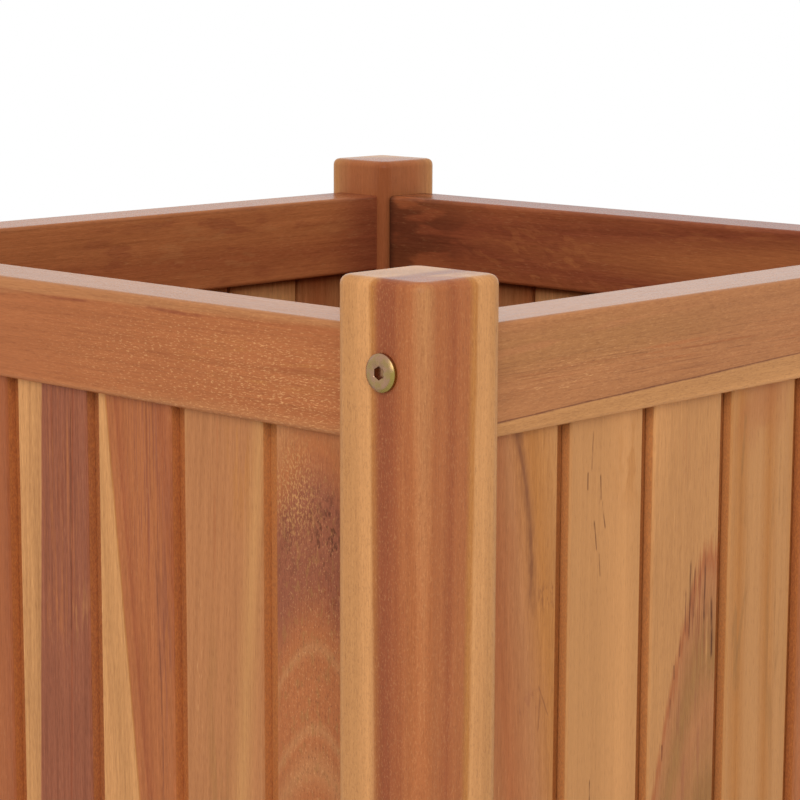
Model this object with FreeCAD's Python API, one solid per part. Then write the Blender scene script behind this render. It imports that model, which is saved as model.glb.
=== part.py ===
import FreeCAD, Part
import os

# Raised garden bed: a square planter box of teak on four corner posts.
# Millimetres, +Z up. The origin is the middle of the ground plan, at the underside of the posts.
# The front faces -Y. Each wall is a frame of two grooved rails with tongued boards between them.
# The front and back frames are doweled to the posts. The left and right frames are bolted between
# them, so the box comes apart into flat panels. Inside, a slatted floor lies on two cleats.

# Overall size over the posts
WIDTH = 500.0
DEPTH = 500.0
HEIGHT = 500.0

# Corner posts
POST = 49.5
POST_EDGE_ROUND = 7.0
POST_TOP_ROUND = 4.0
FOOT_CHAMFER = 2.0
POST_PROUD = 21.5
LEG = 45.0

# Rails, with the groove that holds the board ends
RAIL_HEIGHT = 48.0
RAIL_THICK = 34.0
RAIL_ARRIS = 2.5
BOLTED_RAIL_ARRIS = 2.0
FRONT_SET_BACK = 12.0
SIDE_SET_BACK = 9.0
GROOVE_DEPTH = 12.0
GROOVE_FIT = 0.2

# Wall boards, tongued on one edge and grooved on the other
BOARDS_PER_WALL = 7
BOARD_THICK = 16.0
BOARD_SET_BACK = 4.0
BOARD_GAP = 8.5
BOARD_BACK_GAP = 2.5
BOARD_CHAMFER = 0.8
BOARD_POST_FIT = 0.3
BOARD_TOP_PLAY = 1.0
TONGUE_THICK = 5.0
TONGUE_BITE = 6.0
TONGUE_FIT = 0.2

# Connector bolts and the insert nuts in the ends of the side rails
BOLT_HEAD_RADIUS = 8.0
BOLT_HEAD_THICK = 2.6
BOLT_HEAD_BEVEL = 1.6
BOLT_HEAD_BEVEL_DROP = 1.0
BOLT_RADIUS = 3.0
BOLT_TIP_CHAMFER = 0.8
BOLT_SOCKET = 5.0
BOLT_SOCKET_DEPTH = 2.2
BOLT_HOLE_FIT = 0.25
BOLT_TIP_ROOM = 4.0
BOLT_OFFSET = 4.5
BOLT_HEIGHT_SHARE = 0.44
NUT_RADIUS = 5.0
NUT_LENGTH = 15.0
NUT_CHAMFER = 0.8
NUT_FIT = 0.1

# Wooden dowels
DOWEL_RADIUS = 4.0
DOWEL_LENGTH = 30.0
DOWEL_CHAMFER = 1.0
DOWEL_FIT = 0.1
DOWEL_END_PLAY = 0.5
LOCATING_DOWEL_SHARE = 0.8
PANEL_DOWEL_SHARES = (0.33, 0.76)

# Floor cleats and slats
CLEAT = 20.0
CLEAT_RISE = 5.0
CLEAT_END_FIT = 0.5
SLAT_COUNT = 6
SLAT_THICK = 14.0
SLAT_GAP = 9.0
SLAT_SIDE_GAP = 3.0
SLAT_END_GAP = 2.0
SLAT_ARRIS = 2.0

# Countersunk wood screws
SCREW_RADIUS = 2.0
SCREW_HEAD_RADIUS = 4.0
SCREW_HEAD_DROP = 2.4
SCREW_POINT = 4.0
SCREW_LENGTH = 30.0
SCREW_FIT = 0.1
CLEAT_SCREW_STRIDE = 2

# How far a cut runs past the face that it starts from, and how near two places count as one
OVERRUN = 1.0
SAME_PLACE = 1e-6

# Heights and lines worked out from the sizes above
RAIL_TOP = HEIGHT - POST_PROUD
RAIL_SOLID = RAIL_HEIGHT - GROOVE_DEPTH
GROOVE_WIDTH = BOARD_THICK + 2 * GROOVE_FIT
BOLT_LENGTH = POST + NUT_LENGTH
POST_LINE_X = (WIDTH - POST) / 2
POST_LINE_Y = (DEPTH - POST) / 2
SIDE_RAIL_LINE = WIDTH / 2 - SIDE_SET_BACK - RAIL_THICK / 2
FRONT_RAIL_LINE = DEPTH / 2 - FRONT_SET_BACK - RAIL_THICK / 2
CLEAT_TOP = LEG + CLEAT_RISE + CLEAT
CLEAT_LINE = FRONT_RAIL_LINE - (RAIL_THICK + CLEAT) / 2
SLAT_WIDTH = (WIDTH - 2 * POST - 2 * SLAT_SIDE_GAP - (SLAT_COUNT - 1) * SLAT_GAP) / SLAT_COUNT
SLAT_PITCH = SLAT_WIDTH + SLAT_GAP

# Each wall: its quarter turns from the front, its length, the size across it, and its rails' set-back
WALLS = {
    "front": (0, WIDTH, DEPTH, FRONT_SET_BACK),
    "right": (1, DEPTH, WIDTH, SIDE_SET_BACK),
    "back": (2, WIDTH, DEPTH, FRONT_SET_BACK),
    "left": (3, DEPTH, WIDTH, SIDE_SET_BACK),
}
# The walls that are bolted between the posts
BOLTED_WALLS = ("right", "left")
# Each rail level: the height of the rail's plain edge, and the way from there to its grooved edge
LEVELS = {"top": (RAIL_TOP, -1), "bottom": (LEG, 1)}
# Each corner post: the side of the middle on which it stands, along X and along Y
CORNERS = {
    "front_left": (-1, -1),
    "front_right": (1, -1),
    "back_right": (1, 1),
    "back_left": (-1, 1),
}

UP = FreeCAD.Vector(0, 0, 1)


def vector(x, y, z):
    return FreeCAD.Vector(x, y, z)


def block(low, high):
    """A box between two corners."""
    size = high - low
    return Part.makeBox(size.x, size.y, size.z, low)


def prism(points, height):
    """A flat outline pushed up along Z."""
    return Part.Face(Part.makePolygon(points + points[:1])).extrude(UP * height)


def turned(profile, start, way):
    """A round piece from a half section of (distance along the axis, radius) points."""
    points = [vector(radius, 0, along) for along, radius in profile]
    solid = Part.Face(Part.makePolygon(points + points[:1])).revolve(vector(0, 0, 0), UP, 360)
    solid.Placement = FreeCAD.Placement(start, FreeCAD.Rotation(UP, way))
    return solid


def hole(radius, start, way, depth):
    """A round cutter that starts an overrun before its mouth."""
    return Part.makeCylinder(radius, depth + OVERRUN, start - way * OVERRUN, way)


def edges_along(shape, way):
    """The straight edges of a shape that run along one direction."""
    return [
        edge
        for edge in shape.Edges
        if isinstance(edge.Curve, Part.Line) and edge.Curve.Direction.cross(way).Length < SAME_PLACE
    ]


def edges_at_height(shape, z):
    """The edges of a shape that lie wholly at one height."""
    return [edge for edge in shape.Edges if max(abs(v.Z - z) for v in edge.Vertexes) < SAME_PLACE]


def to_wall(shape, quarter_turns):
    """A piece modelled on the front wall, carried round to its own wall."""
    shape.rotate(vector(0, 0, 0), UP, 90 * quarter_turns)
    return shape


def at_level(level, inset):
    """The height that lies an inset away from a rail's plain edge."""
    edge, way = LEVELS[level]
    return edge + way * inset


def panel_dowel_places():
    """Where the front and back rails meet the posts: each dowel's mouth and its way into the post."""
    for side_x, side_y in CORNERS.values():
        for level in LEVELS:
            for share in PANEL_DOWEL_SHARES:
                z = at_level(level, RAIL_SOLID * share)
                mouth = vector(side_x * (WIDTH / 2 - POST), side_y * FRONT_RAIL_LINE, z)
                yield mouth, vector(side_x, 0, 0)


def locating_dowel_places():
    """Where the side rails meet the posts: each dowel's mouth and its way into the post."""
    for side_x, side_y in CORNERS.values():
        for level in LEVELS:
            z = at_level(level, RAIL_SOLID * LOCATING_DOWEL_SHARE)
            yield vector(side_x * SIDE_RAIL_LINE, side_y * (DEPTH / 2 - POST), z), vector(0, side_y, 0)


def bolt_places():
    """Each bolt's seat on the outer face of a post, and its way through the post."""
    for side_x, side_y in CORNERS.values():
        for level in LEVELS:
            z = at_level(level, RAIL_SOLID * BOLT_HEIGHT_SHARE)
            seat = vector(side_x * (SIDE_RAIL_LINE + BOLT_OFFSET), side_y * DEPTH / 2, z)
            yield seat, vector(0, -side_y, 0)


def dowel_holes(places, turn_back):
    """The dowel holes in the posts, or, turned back, those in the rail ends."""
    depth = DOWEL_LENGTH / 2 + DOWEL_END_PLAY
    for mouth, way in places:
        yield hole(DOWEL_RADIUS + DOWEL_FIT, mouth, -way if turn_back else way, depth)


def post(side_x, side_y):
    """A square post with rounded edges and top, drilled for its bolts and dowels."""
    middle = vector(side_x * POST_LINE_X, side_y * POST_LINE_Y, 0)
    half = vector(POST / 2, POST / 2, 0)
    solid = block(middle - half, middle + half + UP * HEIGHT)
    solid = solid.makeFillet(POST_EDGE_ROUND, edges_along(solid, UP))
    solid = solid.makeFillet(POST_TOP_ROUND, edges_at_height(solid, HEIGHT))
    solid = solid.makeChamfer(FOOT_CHAMFER, edges_at_height(solid, 0))
    cutters = [hole(BOLT_RADIUS + BOLT_HOLE_FIT, seat, way, POST + OVERRUN) for seat, way in bolt_places()]
    cutters += dowel_holes(panel_dowel_places(), False)
    cutters += dowel_holes(locating_dowel_places(), False)
    return solid.cut([cutter for cutter in cutters if cutter.BoundBox.intersect(solid.BoundBox)])


def rail(wall, level):
    """A rail with rounded edges, grooved for the boards and drilled for its joints.

    The ends of a doweled rail are rounded too. Those of a bolted one are square, so that it seats flat.
    """
    turns, length, across, set_back = WALLS[wall]
    edge, way = LEVELS[level]
    half_span = length / 2 - POST
    face = -across / 2 + set_back
    low, high = sorted((edge, edge + way * RAIL_HEIGHT))
    solid = block(vector(-half_span, face, low), vector(half_span, face + RAIL_THICK, high))
    if wall in BOLTED_WALLS:
        solid = solid.makeFillet(BOLTED_RAIL_ARRIS, edges_along(solid, vector(1, 0, 0)))
    else:
        solid = solid.makeFillet(RAIL_ARRIS, solid.Edges)
    groove_face = face + BOARD_SET_BACK - GROOVE_FIT
    groove = sorted((at_level(level, RAIL_SOLID), at_level(level, RAIL_HEIGHT + OVERRUN)))
    solid = solid.cut(
        block(
            vector(-half_span - OVERRUN, groove_face, groove[0]),
            vector(half_span + OVERRUN, groove_face + GROOVE_WIDTH, groove[1]),
        )
    )
    solid = to_wall(solid, turns)
    cutters = list(dowel_holes(panel_dowel_places(), True))
    cutters += dowel_holes(locating_dowel_places(), True)
    cutters += nut_holes()
    cutters += [screw_hole(seat, screw_way) for seat, screw_way in cleat_screw_places()]
    return solid.cut([cutter for cutter in cutters if cutter.BoundBox.intersect(solid.BoundBox)])


def nut_holes():
    """The stepped holes in the side rail ends: the nut's seat, and room for the bolt's tip."""
    for seat, way in bolt_places():
        mouth = seat + way * POST
        yield hole(NUT_RADIUS + NUT_FIT, mouth, way, NUT_LENGTH)
        yield hole(BOLT_RADIUS + BOLT_HOLE_FIT, mouth, way, NUT_LENGTH + BOLT_TIP_ROOM)


def board_outline(left, right, middle, first, last):
    """The section of a board: its grooved left edge and tongued right edge, plain beside a post.

    In front, two boards leave a sunk strip between them. Behind the tongue they close up.
    """
    half = BOARD_THICK / 2
    front, back = middle - half, middle + half
    tongue = TONGUE_THICK / 2
    slot = tongue + TONGUE_FIT
    points = [vector(left + BOARD_CHAMFER, front, 0), vector(right - BOARD_CHAMFER, front, 0)]
    points.append(vector(right, front + BOARD_CHAMFER, 0))
    heel = right
    if not last:
        heel = right + BOARD_GAP - BOARD_BACK_GAP
        tip = right + BOARD_GAP + TONGUE_BITE
        points += [vector(right, middle - tongue, 0), vector(tip, middle - tongue, 0)]
        points += [vector(tip, middle + tongue, 0), vector(heel, middle + tongue, 0)]
    points += [vector(heel, back - BOARD_CHAMFER, 0), vector(heel - BOARD_CHAMFER, back, 0)]
    points += [vector(left + BOARD_CHAMFER, back, 0), vector(left, back - BOARD_CHAMFER, 0)]
    if not first:
        floor = left + TONGUE_BITE + TONGUE_FIT
        points += [vector(left, middle + slot, 0), vector(floor, middle + slot, 0)]
        points += [vector(floor, middle - slot, 0), vector(left, middle - slot, 0)]
    points.append(vector(left, front + BOARD_CHAMFER, 0))
    return points


def board(wall, number):
    """One upright board, standing in the groove of the bottom rail and held in that of the top rail."""
    turns, length, across, set_back = WALLS[wall]
    run = length - 2 * POST - 2 * BOARD_POST_FIT
    face_width = (run - (BOARDS_PER_WALL - 1) * BOARD_GAP) / BOARDS_PER_WALL
    left = -run / 2 + number * (face_width + BOARD_GAP)
    middle = -across / 2 + set_back + BOARD_SET_BACK + BOARD_THICK / 2
    outline = board_outline(left, left + face_width, middle, number == 0, number == BOARDS_PER_WALL - 1)
    low = at_level("bottom", RAIL_SOLID)
    high = at_level("top", RAIL_SOLID) - BOARD_TOP_PLAY
    solid = prism(outline, high - low)
    solid.translate(UP * low)
    return to_wall(solid, turns)


def connector_bolts():
    """Flat-headed bolts with a bevelled rim and a six-sided socket."""
    rim = BOLT_HEAD_RADIUS - BOLT_HEAD_BEVEL
    profile = [
        (-BOLT_HEAD_THICK, 0),
        (-BOLT_HEAD_THICK, rim),
        (-BOLT_HEAD_THICK + BOLT_HEAD_BEVEL_DROP, BOLT_HEAD_RADIUS),
        (0, BOLT_HEAD_RADIUS),
        (0, BOLT_RADIUS),
        (BOLT_LENGTH - BOLT_TIP_CHAMFER, BOLT_RADIUS),
        (BOLT_LENGTH, BOLT_RADIUS - BOLT_TIP_CHAMFER),
        (BOLT_LENGTH, 0),
    ]
    for seat, way in bolt_places():
        yield turned(profile, seat, way).cut(socket(seat - way * BOLT_HEAD_THICK, way))


def socket(mouth, way):
    """The six-sided cutter of a bolt's socket."""
    corner = vector(BOLT_SOCKET / 3**0.5, 0, 0)
    turn = FreeCAD.Rotation(UP, 60)
    points = [corner]
    for _ in range(5):
        points.append(turn.multVec(points[-1]))
    cutter = prism(points, BOLT_SOCKET_DEPTH + OVERRUN)
    cutter.Placement = FreeCAD.Placement(mouth - way * OVERRUN, FreeCAD.Rotation(UP, way))
    return cutter


def insert_nuts():
    """Sleeves in the ends of the side rails, which take the bolts."""
    bore = BOLT_RADIUS + NUT_FIT
    profile = [
        (0, bore),
        (0, NUT_RADIUS),
        (NUT_LENGTH - NUT_CHAMFER, NUT_RADIUS),
        (NUT_LENGTH, NUT_RADIUS - NUT_CHAMFER),
        (NUT_LENGTH, bore),
    ]
    for seat, way in bolt_places():
        yield turned(profile, seat + way * POST, way)


def dowels(places):
    """Round pegs, half in the post and half in the rail."""
    profile = [
        (0, 0),
        (0, DOWEL_RADIUS - DOWEL_CHAMFER),
        (DOWEL_CHAMFER, DOWEL_RADIUS),
        (DOWEL_LENGTH - DOWEL_CHAMFER, DOWEL_RADIUS),
        (DOWEL_LENGTH, DOWEL_RADIUS - DOWEL_CHAMFER),
        (DOWEL_LENGTH, 0),
    ]
    for mouth, way in places:
        yield turned(profile, mouth - way * (DOWEL_LENGTH / 2), way)


def slat_line(number):
    """The distance of a floor slat's middle line from the middle of the box."""
    return (number - (SLAT_COUNT - 1) / 2) * SLAT_PITCH


def slat_screw_places():
    """Each slat screw's seat on top of a slat, and its way down into the cleat."""
    for number in range(SLAT_COUNT):
        for side_y in (-1, 1):
            yield vector(slat_line(number), side_y * CLEAT_LINE, CLEAT_TOP + SLAT_THICK), -UP


def cleat_screw_places():
    """Each cleat screw's seat on the inner face of a cleat, between two slats, and its way outwards."""
    for number in range(0, SLAT_COUNT - 1, CLEAT_SCREW_STRIDE):
        x = slat_line(number) + SLAT_PITCH / 2
        for side_y in (-1, 1):
            yield vector(x, side_y * (CLEAT_LINE - CLEAT / 2), CLEAT_TOP - CLEAT / 2), vector(0, side_y, 0)


def screw_hole(seat, way):
    """The countersunk cutter of a screw, a fit wider than the screw."""
    return turned(
        [
            (-OVERRUN, 0),
            (-OVERRUN, SCREW_HEAD_RADIUS + SCREW_FIT),
            (0, SCREW_HEAD_RADIUS + SCREW_FIT),
            (SCREW_HEAD_DROP, SCREW_RADIUS + SCREW_FIT),
            (SCREW_LENGTH + SCREW_FIT, SCREW_RADIUS + SCREW_FIT),
            (SCREW_LENGTH + SCREW_FIT, 0),
        ],
        seat,
        way,
    )


def screws(places):
    """Countersunk screws with a pointed end."""
    profile = [
        (0, 0),
        (0, SCREW_HEAD_RADIUS),
        (SCREW_HEAD_DROP, SCREW_RADIUS),
        (SCREW_LENGTH - SCREW_POINT, SCREW_RADIUS),
        (SCREW_LENGTH, 0),
    ]
    for seat, way in places:
        yield turned(profile, seat, way)


def cleat(side_y):
    """A square batten on the inner face of the front or back bottom rail, under the slat ends."""
    half = vector(WIDTH / 2 - POST - CLEAT_END_FIT, CLEAT / 2, CLEAT / 2)
    middle = vector(0, side_y * CLEAT_LINE, CLEAT_TOP - CLEAT / 2)
    solid = block(middle - half, middle + half)
    cutters = [screw_hole(seat, way) for seat, way in slat_screw_places()]
    cutters += [screw_hole(seat, way) for seat, way in cleat_screw_places()]
    return solid.cut([cutter for cutter in cutters if cutter.BoundBox.intersect(solid.BoundBox)])


def floor_slat(number):
    """A floor slat with eased long edges, lying across the two cleats."""
    half_length = FRONT_RAIL_LINE - RAIL_THICK / 2 - SLAT_END_GAP
    x = slat_line(number)
    solid = block(
        vector(x - SLAT_WIDTH / 2, -half_length, CLEAT_TOP),
        vector(x + SLAT_WIDTH / 2, half_length, CLEAT_TOP + SLAT_THICK),
    )
    solid = solid.makeFillet(SLAT_ARRIS, edges_along(solid, vector(0, 1, 0)))
    cutters = [screw_hole(seat, way) for seat, way in slat_screw_places()]
    return solid.cut([cutter for cutter in cutters if cutter.BoundBox.intersect(solid.BoundBox)])


def all_parts():
    """Every piece of the planter by its name."""
    parts = {}
    for corner, sides in CORNERS.items():
        parts[corner + "_post"] = post(*sides)
    for wall in WALLS:
        for level in LEVELS:
            parts[f"{wall}_{level}_rail"] = rail(wall, level)
        for number in range(BOARDS_PER_WALL):
            parts[f"{wall}_board_{number + 1}"] = board(wall, number)
    parts["front_cleat"] = cleat(-1)
    parts["back_cleat"] = cleat(1)
    for number in range(SLAT_COUNT):
        parts[f"floor_slat_{number + 1}"] = floor_slat(number)
    parts["connector_bolts"] = Part.makeCompound(list(connector_bolts()))
    parts["insert_nuts"] = Part.makeCompound(list(insert_nuts()))
    parts["panel_dowels"] = Part.makeCompound(list(dowels(panel_dowel_places())))
    parts["locating_dowels"] = Part.makeCompound(list(dowels(locating_dowel_places())))
    parts["slat_screws"] = Part.makeCompound(list(screws(slat_screw_places())))
    parts["cleat_screws"] = Part.makeCompound(list(screws(cleat_screw_places())))
    return parts


os.makedirs("parts", exist_ok=True)
for name, shape in all_parts().items():
    shape.exportStep(f"parts/{name}.step")
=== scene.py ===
"""Looks of a square raised garden bed in oiled teak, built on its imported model.

Every wooden piece is shown as if sawn from a log: its material knows where the pith of that log
lay, so bands of heartwood and sapwood run through faces, edges and ends alike.
"""
import math
import random
from dataclasses import dataclass
from functools import partial

import bmesh
import bpy
from mathutils import Color, Matrix, Vector


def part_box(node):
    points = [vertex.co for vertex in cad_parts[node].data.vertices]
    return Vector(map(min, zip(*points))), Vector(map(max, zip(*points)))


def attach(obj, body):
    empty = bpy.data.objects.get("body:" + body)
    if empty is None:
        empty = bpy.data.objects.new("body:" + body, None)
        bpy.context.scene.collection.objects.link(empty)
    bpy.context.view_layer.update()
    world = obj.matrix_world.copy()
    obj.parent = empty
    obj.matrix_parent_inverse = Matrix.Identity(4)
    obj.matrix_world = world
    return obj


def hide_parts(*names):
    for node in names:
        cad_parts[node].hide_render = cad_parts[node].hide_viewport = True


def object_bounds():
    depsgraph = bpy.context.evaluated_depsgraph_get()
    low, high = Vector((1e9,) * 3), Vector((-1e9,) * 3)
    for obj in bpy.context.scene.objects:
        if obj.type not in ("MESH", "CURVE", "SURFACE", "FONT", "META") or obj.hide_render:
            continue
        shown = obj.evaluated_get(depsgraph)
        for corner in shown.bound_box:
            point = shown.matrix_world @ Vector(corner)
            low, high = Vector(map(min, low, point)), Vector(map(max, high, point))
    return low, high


bl_info = {
    "name": "Raised Garden Bed",
    "version": (1, 0, 0),
    "blender": (4, 5, 0),
    "location": "3D View > Sidebar > Garden Bed",
    "description": "Finishes a teak planter box and sets up its studio",
    "category": "Object",
}

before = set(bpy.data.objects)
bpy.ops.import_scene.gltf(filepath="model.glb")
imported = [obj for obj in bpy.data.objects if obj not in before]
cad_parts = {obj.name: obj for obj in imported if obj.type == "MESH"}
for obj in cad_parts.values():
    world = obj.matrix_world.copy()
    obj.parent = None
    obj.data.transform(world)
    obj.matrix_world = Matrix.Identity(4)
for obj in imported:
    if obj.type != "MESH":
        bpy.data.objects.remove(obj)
CAD_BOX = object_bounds()

BODY = "root"
WALLS = ("front", "right", "back", "left")
LEVELS = ("top", "bottom")
CORNERS = ("front_left", "front_right", "back_right", "back_left")
BOARDS_PER_WALL = 7
SLAT_COUNT = 6
CLEATS = ("front_cleat", "back_cleat")
MM = 0.001
UP = Vector((0, 0, 1))
WHITE = (1, 1, 1, 1)


def vector_prop(name, description, default, **kind):
    return bpy.props.FloatVectorProperty(
        name=name, description=description, default=default, **kind
    )


def number_prop(name, description, default, **kind):
    return bpy.props.FloatProperty(name=name, description=description, default=default, **kind)


colour_prop = partial(vector_prop, subtype="COLOR_GAMMA", min=0, max=1)
place_prop = partial(vector_prop, subtype="TRANSLATION", unit="LENGTH")
size_prop = partial(vector_prop, size=2, min=0, unit="LENGTH", precision=5)
length_prop = partial(number_prop, min=0, unit="LENGTH", precision=5)
share_prop = partial(number_prop, min=0, max=1, subtype="FACTOR")
angle_prop = partial(number_prop, subtype="ANGLE")


class GardenBedTones(bpy.types.PropertyGroup):
    """Colours of the woods and metals, written as they look in even light."""

    cream: colour_prop("Cream", "Brightest sapwood", (0.820, 0.592, 0.388))
    sapwood: colour_prop("Sapwood", "Pale outer wood of the log", (0.800, 0.575, 0.370))
    honey: colour_prop("Honey", "Light heartwood", (0.745, 0.533, 0.341))
    gold: colour_prop("Gold", "Yellow brown heartwood", (0.706, 0.471, 0.267))
    tan: colour_prop("Tan", "Plain brown heartwood", (0.694, 0.467, 0.306))
    olive: colour_prop("Olive", "Greenish brown heartwood", (0.620, 0.440, 0.270))
    russet: colour_prop("Russet", "Orange brown heartwood", (0.667, 0.408, 0.259))
    chestnut: colour_prop("Chestnut", "Dark reddish heartwood", (0.620, 0.361, 0.235))
    plum: colour_prop("Plum", "Purple brown heartwood", (0.576, 0.349, 0.259))
    wine: colour_prop("Wine", "Darkest red heartwood", (0.545, 0.300, 0.212))
    cocoa: colour_prop("Cocoa", "Dark lines between rings", (0.450, 0.275, 0.210))
    umber: colour_prop("Umber", "Mineral streaks", (0.340, 0.205, 0.160))
    ember: colour_prop("Ember", "Freshly sawn edges", (0.900, 0.580, 0.310))
    fleck: colour_prop("Fleck", "Bright broken fibres", (0.870, 0.650, 0.440))
    dowel: colour_prop("Dowel", "Pale beech of the dowels", (0.800, 0.680, 0.500))
    zinc: colour_prop("Zinc", "Yellow passivated zinc", (0.650, 0.505, 0.400))
    zinc_rim: colour_prop("Zinc rim", "Green gold of a thick zinc film", (0.600, 0.520, 0.280))
    # Painted shade for the inside of a bolt's socket
    socket_shade: colour_prop("Grime", "Dark inside of a bolt's socket", (0.500, 0.310, 0.210))
    steel: colour_prop("Steel", "Plain screw steel", (0.660, 0.655, 0.640))
    film: share_prop("Film", "White that the oil mirrors, taken off the written tones", 0.010)


class GardenBedGrain(bpy.types.PropertyGroup):
    """Sizes of the marks in the wood."""

    streak: size_prop("Streak", "Length and width of the broad streaks", (0.14, 0.0021))
    thread: size_prop("Thread", "Length and width of fine fibre streaks", (0.045, 0.0008))
    hair: size_prop("Hair", "Length and width of the finest fibres", (0.005, 0.00045))
    pore: size_prop("Pore", "Length and width of an open pore", (0.005, 0.0004))
    fleck: size_prop("Fleck", "Length and width of a bright fleck", (0.0045, 0.0007))
    ring_width: length_prop("Ring width", "Width of a growth ring", 0.0035)
    relief: length_prop("Relief", "Height of the raised grain", 0.00025)
    roughness: share_prop("Roughness", "Roughness of the oiled surface", 0.24)
    specular: share_prop("Specular", "Strength of the oil's reflection", 0.07)


class GardenBedBolts(bpy.types.PropertyGroup):
    """Sizes of the connector bolts."""

    head_radius: length_prop("Head radius", "Radius of the flat head", 0.0080)
    head_height: length_prop("Head height", "How far the head stands out of the post", 0.0026)
    bevel: length_prop("Bevel", "Width of the sloping rim", 0.0016)
    bevel_drop: length_prop("Bevel drop", "Height of the sloping rim", 0.0010)
    softness: length_prop("Softness", "Radius of the rim's edges", 0.0003)
    shank_radius: length_prop("Shank radius", "Radius of the shank", 0.0030)
    shank_length: length_prop("Shank length", "Length of the shank", 0.0645)
    tip: length_prop("Tip", "Chamfer of the shank's tip", 0.0008)
    socket: length_prop("Socket", "Width of the six-sided socket across its flats", 0.0050)
    socket_depth: length_prop("Socket depth", "Depth of the socket", 0.0022)
    socket_mouth: length_prop("Socket mouth", "Chamfer round the socket", 0.0003)


class GardenBedStage(bpy.types.PropertyGroup):
    """Camera, light and floor."""

    camera_place: place_prop(
        "Camera place", "Where the camera stands", (0.92493, -0.97946, 0.62132)
    )
    camera_yaw: angle_prop("Yaw", "Turn of the camera from +Y", math.radians(43.2787))
    camera_pitch: angle_prop("Pitch", "Dip of the camera", math.radians(9.5482))
    camera_roll: angle_prop("Roll", "Lean of the camera", math.radians(0.2037))
    lens: number_prop("Lens", "Focal length in millimetres", 115.476)
    sky: number_prop("Sky", "Level of the light from all round", 0.82)
    key_place: place_prop("Key place", "Where the large front lamp hangs", (1.30, -1.60, 1.6))
    key_size: length_prop("Key size", "Side of the large front lamp", 1.4)
    key_power: number_prop("Key power", "Power of the front lamp", 21.0, subtype="POWER")
    floor_colour: colour_prop("Floor", "Pale floor", (0.90, 0.90, 0.90))
    floor_radius: length_prop("Floor radius", "How far the floor reaches", 4.0)
    fade_start: length_prop("Fade start", "Where the floor starts to turn white", 1.2)
    fade_end: length_prop("Fade end", "Where the floor is white like the background", 2.4)


class GardenBedSettings(bpy.types.PropertyGroup):
    """All settings of the garden bed."""

    tones: bpy.props.PointerProperty(type=GardenBedTones)
    grain: bpy.props.PointerProperty(type=GardenBedGrain)
    bolts: bpy.props.PointerProperty(type=GardenBedBolts)
    stage: bpy.props.PointerProperty(type=GardenBedStage)


def settings():
    return bpy.context.scene.garden_bed


def linear(tone):
    return Color(getattr(settings().tones, tone)).from_srgb_to_scene_linear()


# Share of the film that the darkest tones keep
LEAST_PAINT = 0.125


def paint(tone):
    """A wood tone for a shader, without the white that the surface's own reflection will add."""
    film = settings().tones.film
    return (*(max(part - film, film * LEAST_PAINT) / (1 - film) for part in linear(tone)), 1)


MIDDLE = 0.5
# Sockets of a Mix node that mixes colours
MIX_ONE, MIX_OTHER, MIX_RESULT = 6, 7, 2


class Tree:
    """Adds nodes to one node tree and links them."""

    def __init__(self, tree):
        self.tree = tree

    def feed(self, socket, value):
        if isinstance(value, bpy.types.NodeSocket):
            self.tree.links.new(value, socket)
        else:
            socket.default_value = value

    def node(self, kind, inputs=None, **choices):
        """A new node, with its inputs fed by name or number."""
        node = self.tree.nodes.new("ShaderNode" + kind)
        for name, value in choices.items():
            setattr(node, name, value)
        for name, value in (inputs or {}).items():
            self.feed(node.inputs[name], value)
        return node

    def math(self, operation, *values, clamp=False):
        inputs = dict(enumerate(values))
        return self.node("Math", inputs, operation=operation, use_clamp=clamp).outputs[0]

    def product(self, first, *others):
        for other in others:
            first = self.math("MULTIPLY", first, other)
        return first

    def swing(self, value, reach, base=0.0):
        """A noise value turned into a change of up to half the reach to either side of a base."""
        return self.math("MULTIPLY_ADD", self.math("SUBTRACT", value, MIDDLE), reach, base)

    def rise(self, value, low, high):
        """0 below low, 1 above high, and a smooth step between."""
        inputs = {"Value": value, "From Min": low, "From Max": high}
        return self.node("MapRange", inputs, interpolation_type="SMOOTHSTEP").outputs[0]

    def fall(self, value, low, high):
        """1 below low, 0 above high, and a smooth step between."""
        return self.math("SUBTRACT", 1.0, self.rise(value, low, high))

    def noise(self, dimensions, detail, roughness, **place):
        inputs = {**place, "Scale": 1.0, "Detail": detail, "Roughness": roughness}
        return self.node("TexNoise", inputs, noise_dimensions=dimensions).outputs[0]

    def marks(self, grain, length, width, seed, detail=2.0, roughness=0.55):
        """Noise whose spots have a length along the grain and a width across it."""
        narrow = self.math("DIVIDE", 1.0, width)
        scale = {"X": self.math("DIVIDE", 1.0, length), "Y": narrow, "Z": narrow}
        inputs = {0: grain, 1: self.node("CombineXYZ", scale).outputs[0]}
        place = self.node("VectorMath", inputs, operation="MULTIPLY").outputs[0]
        return self.noise("4D", detail, roughness, Vector=place, W=seed)

    def bands(self, position, detail=3.0, roughness=0.6):
        """Noise along a single line."""
        return self.noise("1D", detail, roughness, W=position)

    def mix(self, share, one, other, blend="MIX"):
        inputs = {0: share, MIX_ONE: one, MIX_OTHER: other}
        node = self.node("Mix", inputs, data_type="RGBA", blend_type=blend)
        return node.outputs[MIX_RESULT]

    def tinted(self, share, colour, tint):
        """A colour that is multiplied by a tint, as far as a share goes."""
        return self.mix(share, colour, self.mix(1.0, colour, tint, "MULTIPLY"))

    def group(self, name, **inputs):
        group = bpy.data.node_groups.get(name) or GROUPS[name](name)
        return self.node("Group", inputs, node_tree=group).outputs


def add_object(name, data):
    thing = bpy.data.objects.new(name, data)
    bpy.context.scene.collection.objects.link(thing)
    return thing


def new_mesh(name, shape):
    mesh = bpy.data.meshes.new(name)
    shape.to_mesh(mesh)
    shape.free()
    return mesh


def new_material(name):
    material = bpy.data.materials.new(name)
    material.use_nodes = True
    return material, Tree(material.node_tree), material.node_tree.nodes["Principled BSDF"].inputs


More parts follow.
